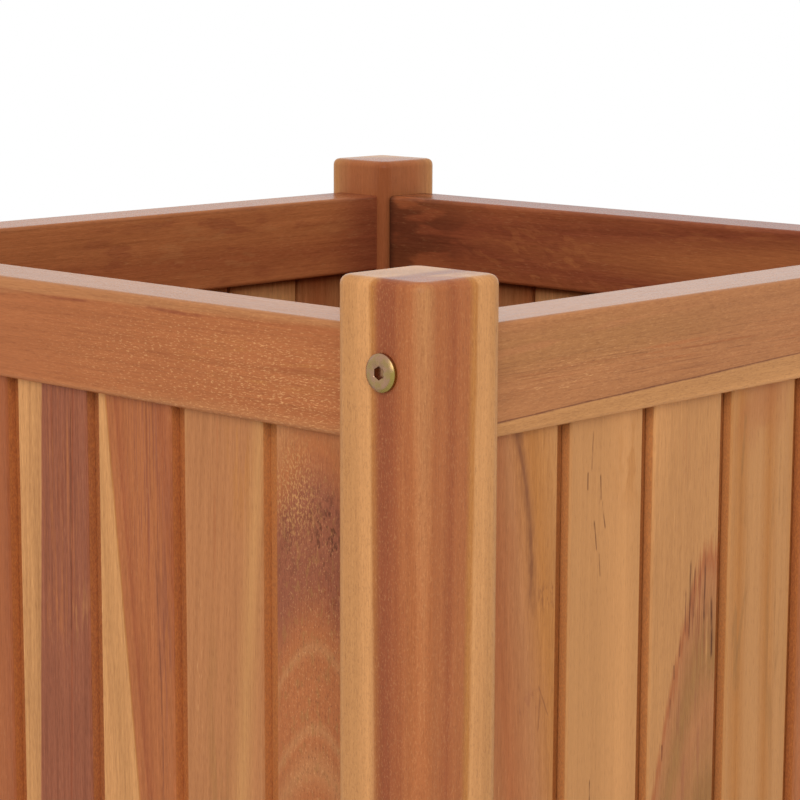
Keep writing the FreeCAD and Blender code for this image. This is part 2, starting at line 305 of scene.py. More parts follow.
def new_group(name, inputs, outputs):
    """An empty node group with its sockets: its tree, its given values and its results."""
    group = bpy.data.node_groups.new(name, "ShaderNodeTree")
    kinds = {"grain": "Vector", "colour": "Color", "base": "Color"}
    for side, sockets in (("INPUT", inputs), ("OUTPUT", outputs)):
        for socket in sockets:
            kind = "NodeSocket" + kinds.get(socket, "Float")
            group.interface.new_socket(socket, in_out=side, socket_type=kind)
    given = group.nodes.new("NodeGroupInput").outputs
    result = group.nodes.new("NodeGroupOutput").inputs
    return Tree(group), given, result


# Sizes of the marks along and across the grain
SLOW_SIZE = (0.25, 0.07)
FRAY_SIZE = (0.030, 0.0013)


def rings_group(name):
    """Distance from the pith of the log, with rings that stray and fray."""
    inputs = ("grain", "seed", "pith_across", "pith_depth", "taper", "wander", "fray")
    t, given, result = new_group(name, inputs, ("radius",))
    slow = t.marks(given["grain"], *SLOW_SIZE, given["seed"], detail=1.0)
    fray = t.marks(given["grain"], *FRAY_SIZE, given["seed"], detail=1.0)
    axes = t.node("SeparateXYZ", {"Vector": given["grain"]}).outputs
    across = t.math("SUBTRACT", t.swing(slow, given["wander"], axes["Y"]), given["pith_across"])
    depth = t.math("SUBTRACT", axes["Z"], given["pith_depth"])
    distance = t.math("SQRT", t.math("MULTIPLY_ADD", across, across, t.product(depth, depth)))
    radius = t.math("MULTIPLY_ADD", axes["X"], given["taper"], distance)
    t.feed(result["radius"], t.swing(fray, given["fray"], radius))
    return t.tree


STRENGTHS = ("figure", "pores", "flecks", "dullness")
# Every kind of mark looks elsewhere in the noise
SEED_STEPS = {"thread": 11, "hair": 17, "patch": 23, "pore": 37, "fleck": 51, "grit": 67}
RING_SEED_STEP = 7.0
PATCH_SIZE = (0.08, 0.025)
GRIT_SIZE = (0.0014, 0.0007)
# How far a mark takes the wood from its dark to its light tint
PATCH_SWING = 0.35
RING_SWING = 0.45
THREAD_SWING = 0.5
STREAK_SWING = 0.6
HAIR_SWING = 0.7
DARK_TINT = (0.60, 0.53, 0.50, 1)
LIGHT_TINT = (1.40, 1.46, 1.48, 1)
PORE_TINT = (0.55, 0.45, 0.40, 1)
# Painted shade that darkens the recessed strip between two boards
RECESS_SHADE_TINT = (0.62, 0.52, 0.46, 1)
# Levels of the noise between which a mark sets in
PORE_LEVELS = (0.57, 0.68)
FLECK_LEVELS = (0.60, 0.72)
FLECK_PATCHES = (0.40, 0.62)
GRIT_LEVELS = (0.20, 0.80)
SAWN_SHARE = 0.5
# What the marks add to the roughness
SAWN_DULLNESS = 0.3
THREAD_DULLNESS = 0.2
PORE_DULLNESS = 0.1
# Parts of the marks in the raised grain
STREAK_RELIEF = 0.3
THREAD_RELIEF = 0.5
PORE_RELIEF = -0.6
GRIT_RELIEF = 1.5


def fibre_group(name):
    """Fine streaks, pores, flecks, sawn edges and painted recess shade over the broad colour of a
    piece.
    """
    inputs = ("grain", "radius", "seed", "base", "sawn", "sunk", *STRENGTHS)
    t, given, result = new_group(name, inputs, ("colour", "roughness", "height"))
    sizes = settings().grain
    grain, seed, sawn = given["grain"], given["seed"], given["sawn"]

    def marks(kind, length, width, **looks):
        return t.marks(grain, length, width, t.math("ADD", seed, SEED_STEPS[kind]), **looks)

    streak = t.marks(grain, *sizes.streak, seed, detail=3.0)
    thread = marks("thread", *sizes.thread, roughness=0.6)
    hair = marks("hair", *sizes.hair, detail=1.0)
    patch = marks("patch", *PATCH_SIZE)
    rings = t.math("DIVIDE", given["radius"], sizes.ring_width)
    ring = t.bands(t.math("MULTIPLY_ADD", seed, RING_SEED_STEP, rings))
    change = t.swing(ring, RING_SWING, t.swing(patch, PATCH_SWING))
    change = t.swing(streak, STREAK_SWING, t.swing(thread, THREAD_SWING, change))
    change = t.swing(hair, HAIR_SWING, change)
    shade = t.math("MULTIPLY_ADD", change, given["figure"], MIDDLE, clamp=True)
    wood = t.mix(1.0, given["base"], t.mix(shade, DARK_TINT, LIGHT_TINT), "MULTIPLY")

    pore = marks("pore", *sizes.pore, detail=1.0)
    pore = t.product(t.rise(pore, *PORE_LEVELS), given["pores"])
    wood = t.tinted(pore, wood, PORE_TINT)
    fleck = marks("fleck", *sizes.fleck, detail=1.0)
    patches = t.rise(patch, *FLECK_PATCHES)
    fleck = t.product(t.rise(fleck, *FLECK_LEVELS), patches, given["flecks"])
    wood = t.mix(fleck, wood, paint("fleck"))

    grit = marks("grit", *GRIT_SIZE)
    rough_cut = t.mix(t.rise(grit, *GRIT_LEVELS), paint("russet"), paint("ember"))
    wood = t.mix(t.product(sawn, SAWN_SHARE), wood, rough_cut)
    # Painted shade on the recessed strip between boards, as strong as the cut asks
    wood = t.tinted(given["sunk"], wood, RECESS_SHADE_TINT)
    t.feed(result["colour"], wood)

    dull = t.math("ADD", given["dullness"], sizes.roughness)
    dull = t.swing(thread, THREAD_DULLNESS, t.math("MULTIPLY_ADD", sawn, SAWN_DULLNESS, dull))
    t.feed(result["roughness"], t.math("MULTIPLY_ADD", pore, PORE_DULLNESS, dull))
    height = t.math("MULTIPLY_ADD", streak, STREAK_RELIEF, t.product(thread, THREAD_RELIEF))
    height = t.math("MULTIPLY_ADD", pore, PORE_RELIEF, height)
    height = t.math("MULTIPLY_ADD", t.product(grit, GRIT_RELIEF), sawn, height)
    t.feed(result["height"], height)
    return t.tree


VEIN_LENGTHS = ("start", "end", "place", "lean", "bow", "width")
VEIN_WOBBLE = 0.0012
VEIN_WOBBLE_SIZE = (0.02, 0.02)
VEIN_FADE = 0.14
VEIN_CORE = 0.2
VEIN_BREAK_SIZE = (0.012, 0.004)
VEIN_BREAK_LEVELS = (0.25, 0.55)


def vein_group(name):
    """A single line in the wood, from a start to an end along the piece."""
    t, given, result = new_group(name, ("grain", "seed", *VEIN_LENGTHS), ("share",))
    grain, seed = given["grain"], given["seed"]
    axes = t.node("SeparateXYZ", {"Vector": grain}).outputs
    length = t.math("SUBTRACT", given["end"], given["start"])
    run = t.math("DIVIDE", t.math("SUBTRACT", axes["X"], given["start"]), length)
    # A parabola that is 0 at both ends of the line and 1 in its middle
    hump = t.product(run, t.math("SUBTRACT", 1.0, run), 4.0)
    line = t.math("MULTIPLY_ADD", run, given["lean"], given["place"])
    line = t.math("MULTIPLY_ADD", hump, given["bow"], line)
    wobble = t.marks(grain, *VEIN_WOBBLE_SIZE, seed)
    away = t.math("SUBTRACT", axes["Y"], t.swing(wobble, VEIN_WOBBLE, line))
    core = t.product(given["width"], VEIN_CORE)
    body = t.fall(t.math("ABSOLUTE", away), core, given["width"])
    ends = t.product(t.rise(run, 0.0, VEIN_FADE), t.fall(run, 1 - VEIN_FADE, 1.0))
    breaks = t.marks(grain, *VEIN_BREAK_SIZE, seed)
    t.feed(result["share"], t.product(body, ends, t.rise(breaks, *VEIN_BREAK_LEVELS)))
    return t.tree


CLOUD_LENGTHS = ("along", "across", "half_length", "half_width", "mark_length", "mark_width")
CLOUD_CORE = 0.2
# Level of the noise that a mark shows from, and how density lowers it
CLOUD_LEVEL = 0.72
CLOUD_LEVEL_DROP = -0.35
CLOUD_LEVEL_STEP = 0.1


def cloud_group(name):
    """A patch of marks that thin out from its middle."""
    inputs = ("grain", "seed", *CLOUD_LENGTHS, "density", "slant")
    t, given, result = new_group(name, inputs, ("share",))
    axes = t.node("SeparateXYZ", {"Vector": given["grain"]}).outputs
    long = t.math("DIVIDE", t.math("SUBTRACT", axes["X"], given["along"]), given["half_length"])
    wide = t.math("DIVIDE", t.math("SUBTRACT", axes["Y"], given["across"]), given["half_width"])
    away = t.math("SQRT", t.math("MULTIPLY_ADD", long, long, t.product(wide, wide)))
    inside = t.fall(away, CLOUD_CORE, 1.0)
    level = t.math("MULTIPLY_ADD", axes["X"], given["slant"], axes["Y"])
    leaning = t.node("CombineXYZ", {"X": axes["X"], "Y": level, "Z": axes["Z"]}).outputs[0]
    mark = t.marks(leaning, given["mark_length"], given["mark_width"], given["seed"])
    low = t.math("MULTIPLY_ADD", given["density"], CLOUD_LEVEL_DROP, CLOUD_LEVEL)
    mark = t.rise(mark, low, t.math("ADD", low, CLOUD_LEVEL_STEP))
    t.feed(result["share"], t.product(inside, mark))
    return t.tree


GROUPS = {
    "teak_rings": rings_group,
    "teak_fibre": fibre_group,
    "teak_vein": vein_group,
    "teak_cloud": cloud_group,
}


@dataclass
class Vein:
    """A line in the wood, in millimetres from the piece's corner.

    From its place across the piece it leans off towards its end and bows out in its middle.
    """

    start: float
    end: float
    place: float
    lean: float = 0.0
    bow: float = 0.0
    width: float = 0.6
    tone: str = "umber"
    strength: float = 0.7


@dataclass
class Cloud:
    """A patch of marks in the wood, in millimetres from the piece's corner.

    Its place, half its size and the size of a mark are given along and across the piece.
    """

    place: tuple
    half_size: tuple
    mark: tuple
    tone: str
    strength: float = 0.5
    density: float = 0.5
    slant: float = 0.0


@dataclass
class Cut:
    """How a piece lay in its log: the pith's place and the bands of tone round it, in millimetres.

    Rings widen by the taper along the piece, stray by the wander and are ragged by the fray.
    Tongue shade says how far painted shade darkens the recessed strip beside a board.
    """

    pith: tuple
    bands: dict
    marks: tuple = ()
    taper: float = 0.0
    wander: float = 6.0
    fray: float = 0.8
    figure: float = 0.8
    pores: float = 0.25
    flecks: float = 0.12
    dullness: float = 0.0
    tongue: float = 0.3

    def marks_of(self, kind):
        return [mark for mark in self.marks if isinstance(mark, kind)]


def saw(pith, bands, *marks, **looks):
    """A cut with its veins and clouds written one after the other."""
    return Cut(pith, bands, marks, **looks)


def far_board(*tones):
    """The cut of a board in a far wall, with a painted shadow under its rail."""
    # Painted shadow: a dark band where the rail's lower edge shades the board
    rail_shadow = Cloud((431, 25), (7, 200), (60, 60), "umber", 0.9, 2)
    return saw((-60, 8), dict(zip((60, 80, 100, 125), tones)), rail_shadow)


# Cuts of the pieces in view, each from its own log, and of the dowels. Other pieces draw theirs.
CUTS = {
    "front_right_post": saw(
        (76.5, -20), {
            # The sapwood and honey bands nearest the pith show only on the rounded front corner:
            # they paint part of the highlight that the corner catches, over wood that is lighter
            # there
            24: "sapwood", 27.6: "honey", 29.6: "tan", 32: "russet", 36: "russet", 40: "chestnut",
            44: "russet", 47.5: "russet", 49.6: "gold", 51: "gold", 52.6: "sapwood", 57: "sapwood",
            62: "honey", 72: "honey", 80: "sapwood",
        },
        Cloud((250, 29), (900, 9), (60, 6), "wine", 0.8, 2),
        Cloud((250, 38), (900, 7), (60, 3), "chestnut", 0.5, 0.8),
        Cloud((350, 20), (700, 80), (1.4, 0.6), "cocoa", 0.18, 0.55),
        Cloud((350, 20), (700, 80), (1.4, 0.6), "fleck", 0.14),
        taper=-0.015, wander=1.5, fray=1.5, figure=0.5,
    ),
    "front_top_rail": saw(
        (-60, 30), {66: "tan", 76.6: "tan", 78.4: "russet", 113: "russet", 120: "tan"},
        Vein(205, 236, 6.6, lean=-0.3, width=1, tone="wine"),
        Vein(270, 312, 4.6, lean=1.2, bow=0.4, width=1.3, tone="wine"),
        Vein(120, 240, 5.2, lean=1.4, width=0.8, tone="chestnut", strength=0.6),
        Vein(300, 400, 5.6, lean=-0.6, width=0.8, tone="chestnut", strength=0.4),
        Cloud((330, 28), (180, 40), (2.4, 0.6), "fleck", 0.55, 0.48),
        Cloud((375, 32), (90, 30), (3.5, 0.7), "fleck", 0.6, 0.42, slant=0.15),
        Cloud((345, 24), (60, 14), (40, 6), "gold", 0.5, 0.7),
        Cloud((385, 22), (50, 7), (40, 2), "chestnut", 0.6, 0.6),
        Cloud((300, 24), (300, 40), (60, 0.9), "chestnut", 0.35),
        taper=0.0212, wander=9, fray=1.6, figure=0.6,
    ),
    "right_top_rail": saw(
        (-40, 20), {
            44: "tan", 83.9: "tan", 84.4: "cocoa", 84.9: "honey", 90: "honey", 97: "sapwood",
        },
        Cloud((60, 14), (160, 16), (120, 8), "olive", 0.4, 0.8),
        Cloud((160, 24), (170, 12), (90, 1.2), "russet", 0.6, 0.55),
        Cloud((40, 27), (60, 8), (50, 0.8), "chestnut", 0.5),
        Cloud((75, 21), (85, 9), (5, 0.7), "fleck", 0.6, 0.35),
        Cloud((55, 29), (55, 6), (5, 0.7), "fleck", 0.6, 0.35),
        Cloud((75, 21), (85, 9), (6, 0.6), "cocoa", 0.5, 0.35),
        Cloud((280, 22), (90, 40), (60, 12), "russet", 0.5, 0.9),
        Cloud((150, 24), (400, 80), (2.4, 0.5), "cocoa", 0.18, 0.55),
        Cloud((150, 24), (400, 80), (2.4, 0.5), "fleck", 0.14),
        Cloud((110, 24), (200, 22), (45, 0.5), "cocoa", 0.40, 0.45),
        taper=0.028, wander=4, figure=0.5, pores=0.15, dullness=-0.05,
    ),
    "front_board_3": saw((-120, 30), {118: "russet", 135: "tan", 150: "russet", 172: "chestnut"}),
    "front_board_4": saw(
        (150, 10), {
            95: "chestnut", 106: "plum", 121.7: "plum", 122.6: "wine", 123.5: "plum", 144.8: "plum",
            145.7: "honey", 150: "honey", 165: "sapwood",
        },
        Vein(300, 430, 36.5, lean=2.8, strength=0.5),
        Cloud((326, 43), (22, 11), (20, 2), "tan", 0.6, 0.6),
        Cloud((322, 25), (20, 14), (20, 2), "russet", 0.6, 0.6),
        Cloud((380, 32), (110, 24), (60, 1.2), "russet", 0.7, 0.55),
        Cloud((400, 30), (60, 20), (40, 1.6), "wine", 0.6),
        Cloud((320, 0.5), (80, 1.4), (5, 0.8), "fleck", 0.6, 0.6),
        taper=0.030, wander=3, figure=1,
    ),
    "front_board_5": saw(
        (160, 10), {
            60: "russet", 72: "chestnut", 80: "russet", 95: "russet", 102: "chestnut",
            104: "russet", 107.8: "russet", 108.7: "gold", 109.4: "sapwood", 118: "honey",
            130: "sapwood",
        },
        Vein(240, 365, 42, lean=-4, bow=1.5, width=0.8, tone="cocoa", strength=0.6),
        Vein(280, 340, 45.5, lean=-2, width=0.7, tone="plum"),
        Vein(300, 430, 33, lean=1, width=0.7, tone="chestnut"),
        Cloud((395, 34), (70, 22), (45, 0.8), "plum", 0.9, 0.6),
        Cloud((330, 48), (90, 14), (30, 3), "plum", 0.6, 0.7),
        Cloud((325, 0.5), (70, 1.4), (5, 0.8), "fleck", 0.7, 0.6),
        taper=-0.108, wander=3,
    ),
    "front_board_6": saw(
        (-150, 20), {112: "honey", 122: "tan", 158: "tan", 166: "honey", 174: "tan", 185: "tan"},
        Cloud((280, 22), (80, 12), (120, 8), "olive", 0.5, 0.8),
        Cloud((390, 22), (70, 6), (90, 2), "russet", 0.5, 0.6),
        Cloud((410, 36), (40, 14), (40, 4), "gold", 0.5, 0.7),
        Cloud((310, 9), (60, 5), (8, 0.7), "fleck", 0.35, 0.4),
        taper=-0.081, figure=0.65, flecks=0.05,
    ),
    "front_board_7": saw(
        (25, 20), {
            60: "tan", 140: "tan", 156: "russet", 162: "tan", 168: "russet", 170.5: "tan",
            173: "russet", 186: "russet", 188.5: "tan", 191: "russet", 203: "plum", 222: "plum",
            232: "russet", 245: "tan",
        },
        Cloud((330, 24), (150, 45), (7, 3), "olive", 0.5),
        Cloud((392, 28), (24, 24), (3, 1.6), "cocoa", 0.6, 0.55),
        Cloud((386, 31), (26, 18), (3.5, 1.8), "umber", 0.7),
        Cloud((378, 6), (26, 12), (4, 2), "cocoa", 0.5, 0.6),
        Cloud((360, 34), (18, 14), (4, 2), "wine", 0.7, 0.6),
        Cloud((404, 10), (34, 22), (1.8, 1), "honey", 0.8, 0.65),
        Cloud((330, 24), (140, 45), (1.4, 0.8), "cocoa", 0.45, 0.45),
        Cloud((330, 24), (140, 45), (1.3, 0.8), "fleck", 0.30, 0.42),
        taper=0.5, wander=14, fray=1.5, figure=0.6, pores=0.4,
    ),
    "right_board_1": saw(
        (-80, 10), {80: "russet", 120: "tan", 135: "russet", 150: "tan", 165: "gold", 185: "honey"},
        Vein(346, 444, 33.5, lean=-15, bow=4.7, width=4.5, tone="cocoa", strength=0.4),
        Vein(352, 440, 33, lean=-14, bow=4.7, width=1.6, tone="cocoa", strength=0.4),
        Vein(302, 318, 45.5, lean=-7, tone="cocoa", strength=0.5),
        Vein(296, 316, 38.5, lean=1.5, tone="cocoa", strength=0.5),
        Vein(306, 322, 27, lean=-1.5, tone="cocoa", strength=0.4),
        Cloud((390, 8), (90, 22), (60, 14), "russet", 0.4, 0.9),
        Cloud((350, 6), (40, 14), (60, 14), "chestnut", 0.4, 0.8),
        Cloud((345, 46), (30, 12), (30, 10), "gold", 0.7, 0.8),
        Cloud((357, 44), (10, 10), (7, 2.5), "cocoa", 0.45, 0.6),
        Cloud((312, 36), (9, 16), (6, 4), "plum", 0.3, 0.6),
        taper=0.12, wander=14, figure=0.6, tongue=1,
    ),
    "right_board_2": saw(
        (-110, 30), {100: "honey", 135: "honey", 150: "sapwood", 165: "honey"},
        Vein(406, 425, 14.2, lean=0.9), Vein(398, 407, 11.9), Vein(392, 405, 21.2, lean=-0.7),
        Vein(379, 393, 24.4, lean=-2.3), Vein(370, 385, 18.6, lean=-2.1),
        Vein(358, 370, 21.2, lean=-0.9, strength=0.5), Vein(250, 268, 16.3),
        Cloud((408, 43), (30, 18), (25, 8), "gold", 0.5, 0.7),
        figure=0.35, flecks=0.04, tongue=1,
    ),
    "right_board_3": saw(
        (44, 22), {
            55: "tan", 75: "olive", 84: "tan", 90: "olive", 98: "tan", 100: "russet",
            102.5: "honey", 125: "honey", 140: "sapwood",
        },
        Vein(316, 358, 28.9, width=0.9), Vein(326, 352, 32.2), Vein(314, 350, 36.3, tone="wine"),
        Vein(322, 360, 40, width=0.9), Vein(304, 336, 46.4, lean=-1, width=1.1, strength=0.85),
        Vein(296, 328, 42.3, width=1, tone="honey", strength=0.8),
        Vein(330, 354, 34.2, width=0.8, tone="honey", strength=0.6),
        Vein(263, 272, 10.2, width=0.8), Vein(282, 293, 15.5), Vein(300, 308, 18),
        Vein(310, 321, 22), Vein(320, 342, 25.6, tone="cocoa"),
        Cloud((405, 28), (40, 26), (30, 0.9), "russet", 0.3, 0.45),
        Cloud((334, 37), (26, 14), (30, 0.8), "cocoa", 0.8, 0.55),
        Cloud((315, 36), (40, 14), (40, 0.9), "wine", 0.5),
        Cloud((270, 30), (60, 22), (60, 4), "plum", 0.4),
        taper=0.2208, wander=3, fray=6, figure=0.5, flecks=0.05, tongue=1,
    ),
    "right_board_4": saw(
        (-100, 40), {
            98: "tan", 112: "honey", 122: "gold", 129: "honey", 137: "honey", 144: "gold",
            152: "honey", 158: "honey", 165: "gold",
        },
        Vein(290, 335, 6, lean=8, width=1.6, tone="olive", strength=0.6),
        Vein(380, 420, 8, lean=2.5, width=1.5, tone="olive", strength=0.6),
        Cloud((428, 22), (36, 36), (40, 20), "russet", 0.5, 0.8),
        Cloud((330, 8), (80, 10), (40, 4), "olive", 0.6, 0.6),
        Cloud((320, 38), (110, 12), (60, 5), "olive", 0.6, 0.6),
        taper=0.02, figure=0.35, tongue=1,
    ),
    "right_board_5": saw(
        (20, 60), {50: "chestnut", 62: "russet", 70: "tan", 80: "chestnut", 95: "russet"},
    ),
    "left_top_rail": saw(
        (90, 40), {40: "russet", 60: "chestnut", 72: "russet", 85: "russet", 105: "tan"},
        # Painted shade: the rail turns dark towards the far post, in the corner of the bed
        Cloud((0, 24), (50, 90), (60, 30), "wine", 0.9, 2),
        Cloud((150, 24), (170, 40), (30, 9), "wine", 0.5),
        Cloud((120, 24), (150, 40), (20, 7), "tan", 0.3),
    ),
    "back_top_rail": saw(
        (25, 14), {
            0: "chestnut", 8: "russet", 14: "wine", 20: "chestnut", 26: "russet", 34: "wine",
            45: "chestnut",
        },
        Cloud((180, 25), (200, 40), (30, 6), "russet", 0.6),
        # Painted shade: darker towards the far post
        Cloud((390, 25), (90, 60), (40, 12), "umber", 0.6, 0.8),
        Cloud((290, 25), (90, 40), (16, 6), "wine", 0.7, 0.6, slant=0.3),
        Cloud((270, 30), (90, 30), (12, 5), "russet", 0.6, slant=0.3),
        # Painted shadow in the joint at the rail's end, next to the far post
        Cloud((402, 24), (9, 200), (40, 40), "umber", 1, 2),
        taper=0.04, wander=30, fray=3,
    ),
    "back_left_post": saw(
        (49, 0), {
            0: "chestnut", 12: "russet", 28: "russet", 38: "tan", 45: "honey", 50: "sapwood",
            70: "cream",
        },
        figure=0.5,
    ),
    "left_board_1": far_board("russet", "tan", "russet", "tan"),
    "left_board_2": far_board("sapwood", "fleck", "fleck", "sapwood"),
    "back_board_5": far_board("sapwood", "fleck", "fleck", "sapwood"),
    "back_board_6": far_board("russet", "tan", "russet", "chestnut"),
    "panel_dowels": saw((0, 0), {0: "dowel", 1000: "dowel"}),
    "locating_dowels": saw((0, 0), {0: "dowel", 1000: "dowel"}),
}
# Tones that go together in a log
LOTS = (
    ("russet", "chestnut", "russet", "tan"),
    ("tan", "honey", "tan", "gold"),
    ("russet", "tan", "olive", "tan"),
    ("plum", "chestnut", "wine", "chestnut"),
    ("honey", "tan", "sapwood", "honey"),
)
PITH_REACH = (40.0, 160.0)
PITH_DEPTHS = (-20.0, 60.0)
TAPERS = (-0.05, 0.05)
BAND_COUNT = 14
SAP_CHANCE = 0.3
SAP_BANDS = 4
SEEDS = (0, 50)


def drawn_cut(draw, size):
    """A cut drawn by chance for a piece that is so long, wide and deep, in millimetres."""
    length, width, depth = size
    side = draw.choice((-1, 1))
    across = width / 2 + side * (width / 2 + draw.uniform(*PITH_REACH))
    pith = (across, draw.uniform(*PITH_DEPTHS))
    taper = draw.uniform(*TAPERS)
    edges = [(left, front) for left in (0, width) for front in (0, depth)]
    reaches = [math.dist(pith, edge) + taper * along for edge in edges for along in (0, length)]
    lot = draw.choice(LOTS)
    tones = [draw.choice(lot) for _ in range(BAND_COUNT)]
    if draw.random() < SAP_CHANCE:
        tones[-SAP_BANDS:] = ["sapwood"] * SAP_BANDS
    places = sorted(draw.uniform(min(reaches), max(reaches)) for _ in tones)
    return saw(pith, dict(zip(places, tones)), taper=taper)


def band_ramp(t, radius, bands):
    """The broad colour of a piece from its bands of tone."""
    (start, first), *inner, (end, last) = bands.items()
    share = t.node("MapRange", {"Value": radius, "From Min": start * MM, "From Max": end * MM})
    ramp = t.node("ValToRGB", {"Fac": share.outputs[0]})
    stops = ramp.color_ramp.elements
    for place, tone in inner:
        stops.new((place - start) / (end - start)).color = paint(tone)
    stops[0].color = paint(first)
    stops[len(stops) - 1].color = paint(last)
    return ramp.outputs["Color"]


def in_metres(names, lengths):
    """Lengths that are written in millimetres, under the names of a group's sockets."""
    return {name: length * MM for name, length in zip(names, lengths)}


# Depths under a board's face between which its edge turns sawn, and between which its recessed
# strip begins, which gets painted shade
SAWN_DEPTHS = (0.0007, 0.0014)
SUNK_DEPTHS = (0.0046, 0.0054)
BUMP_STRENGTH = 0.5


def teak_material(name, axes, corner, size, thickness=None):
    """The material of one wooden piece, with axes along, across and into it from its corner.

    A thickness is given for a board: what lies between its two faces is its sawn edge.
    """
    draw = random.Random(name)
    cut = CUTS.get(name) or drawn_cut(draw, size)
    seed = draw.uniform(*SEEDS)
    material, t, shader = new_material("teak_" + name)
    turn = Matrix(axes)
    move = {"Location": -(turn @ Vector(corner)), "Rotation": turn.to_euler()}
    place = t.node("TexCoord").outputs["Object"]
    grain = t.node("Mapping", {"Vector": place, **move}).outputs[0]
    lengths = ("pith_across", "pith_depth", "wander", "fray")
    radius = t.group(
        "teak_rings",
        grain=grain,
        seed=seed,
        taper=cut.taper,
        **in_metres(lengths, (*cut.pith, cut.wander, cut.fray)),
    )["radius"]
    base = band_ramp(t, radius, cut.bands)
    for cloud in cut.marks_of(Cloud):
        share = t.group(
            "teak_cloud",
            grain=grain,
            seed=draw.uniform(*SEEDS),
            density=cloud.density,
            slant=cloud.slant,
            **in_metres(CLOUD_LENGTHS, (*cloud.place, *cloud.half_size, *cloud.mark)),
        )["share"]
        base = t.mix(t.product(share, cloud.strength), base, paint(cloud.tone))
    for vein in cut.marks_of(Vein):
        share = t.group(
            "teak_vein",
            grain=grain,
            seed=draw.uniform(*SEEDS),
            **in_metres(VEIN_LENGTHS, [getattr(vein, length) for length in VEIN_LENGTHS]),
        )["share"]
        base = t.mix(t.product(share, vein.strength), base, paint(vein.tone))
    sawn, sunk = 0.0, 0.0
    if thickness:
        depth = t.node("SeparateXYZ", {"Vector": grain}).outputs["Z"]
        depth = t.math("MINIMUM", depth, t.math("SUBTRACT", thickness, depth))
        sawn = t.rise(depth, *SAWN_DEPTHS)
        # The recessed strip between boards gets painted shade, as strong as the cut's shade there
        sunk = t.product(t.rise(depth, *SUNK_DEPTHS), cut.tongue)
    finish = t.group(
        "teak_fibre",
        grain=grain,
        radius=radius,
        seed=seed,
        base=base,
        sawn=sawn,
        sunk=sunk,
        **{strength: getattr(cut, strength) for strength in STRENGTHS},
    )
    t.feed(shader["Base Color"], finish["colour"])
    t.feed(shader["Roughness"], finish["roughness"])
    sizes = settings().grain
    t.feed(shader["Specular IOR Level"], sizes.specular)
    relief = {"Height": finish["height"], "Strength": BUMP_STRENGTH, "Distance": sizes.relief}
    t.feed(shader["Normal"], t.node("Bump", relief).outputs[0])
    return material


def dress(name, material):
    """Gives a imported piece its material."""
    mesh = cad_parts[name].data
    mesh.materials.clear()
    mesh.materials.append(material)


def dress_in_teak(name, axes, is_board=False):
    """Gives a wooden piece its own cut, from the corner that lies lowest along each axis.

    A board's cut starts at the ground.
    """
    low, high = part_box(name)
    reaches = [sorted((axis.dot(low), axis.dot(high))) for axis in axes]
    if is_board:
        reaches[0][0] = 0.0
    corner = sum((axis * span[0] for axis, span in zip(axes, reaches)), Vector())
    lengths = [span[1] - span[0] for span in reaches]
    size = [length / MM for length in lengths]
    thickness = lengths[2] if is_board else None
    dress(name, teak_material(name, axes, corner, size, thickness))


def wall_axes(wall):
    """Directions along a wall, seen from outside from left to right, and into it."""
    turn = Matrix.Rotation(math.radians(90 * WALLS.index(wall)), 3, "Z")
    return turn @ Vector((1, 0, 0)), turn @ Vector((0, 1, 0))


class GARDEN_BED_OT_posts(bpy.types.Operator):
    """Finish the four corner posts"""

    bl_idname = "garden_bed.posts"
    bl_label = "Posts"

    def execute(self, context):
        along, inward = wall_axes("front")
        for corner in CORNERS:
            dress_in_teak(corner + "_post", (UP, along, inward))
        return {"FINISHED"}


class GARDEN_BED_OT_rails(bpy.types.Operator):
    """Finish the top and bottom rails"""

    bl_idname = "garden_bed.rails"
    bl_label = "Rails"

    def execute(self, context):
        for wall in WALLS:
            along, inward = wall_axes(wall)
            for level in LEVELS:
                dress_in_teak(f"{wall}_{level}_rail", (along, -UP, inward))
        return {"FINISHED"}


class GARDEN_BED_OT_boards(bpy.types.Operator):
    """Finish the upright wall boards"""

    bl_idname = "garden_bed.boards"
    bl_label = "Boards"

    def execute(self, context):
        for wall in WALLS:
            along, inward = wall_axes(wall)
            for number in range(1, BOARDS_PER_WALL + 1):
                dress_in_teak(f"{wall}_board_{number}", (UP, along, inward), is_board=True)
        return {"FINISHED"}


class GARDEN_BED_OT_floor(bpy.types.Operator):
    """Finish the floor slats, their cleats and the hidden dowels"""

    bl_idname = "garden_bed.floor"
    bl_label = "Floor"

    def execute(self, context):
        along, inward = wall_axes("front")
        for number in range(1, SLAT_COUNT + 1):
            dress_in_teak(f"floor_slat_{number}", (inward, along, -UP))
        for name in (*CLEATS, "panel_dowels"):
            dress_in_teak(name, (along, -UP, inward))
        dress_in_teak("locating_dowels", (inward, -UP, -along))
        return {"FINISHED"}


# Faces of a bolt carry the zone that they lie in, and plain faces carry 0
ZONE = "zone"
RIM_ZONE = 1.0
SOCKET_FLOOR_ZONE = -0.4
SOCKET_WALL_ZONE = -1.0
FILM_SIZE = (0.004, 0.004)
FILM_SEED = 3.0
FILM_LEVELS = (0.40, 0.65)
FILM_SHARE = 0.6
# Side of a rim that has the thick film, and how far a face has to turn to it
FILM_SIDE = (0.75, 0.0, -0.65)
FILM_TURNS = (0.1, 0.6)
SPECK_SIZE = (0.0006, 0.0006)
SPECK_SEED = 5.0
SPECK_DULLNESS = 0.2


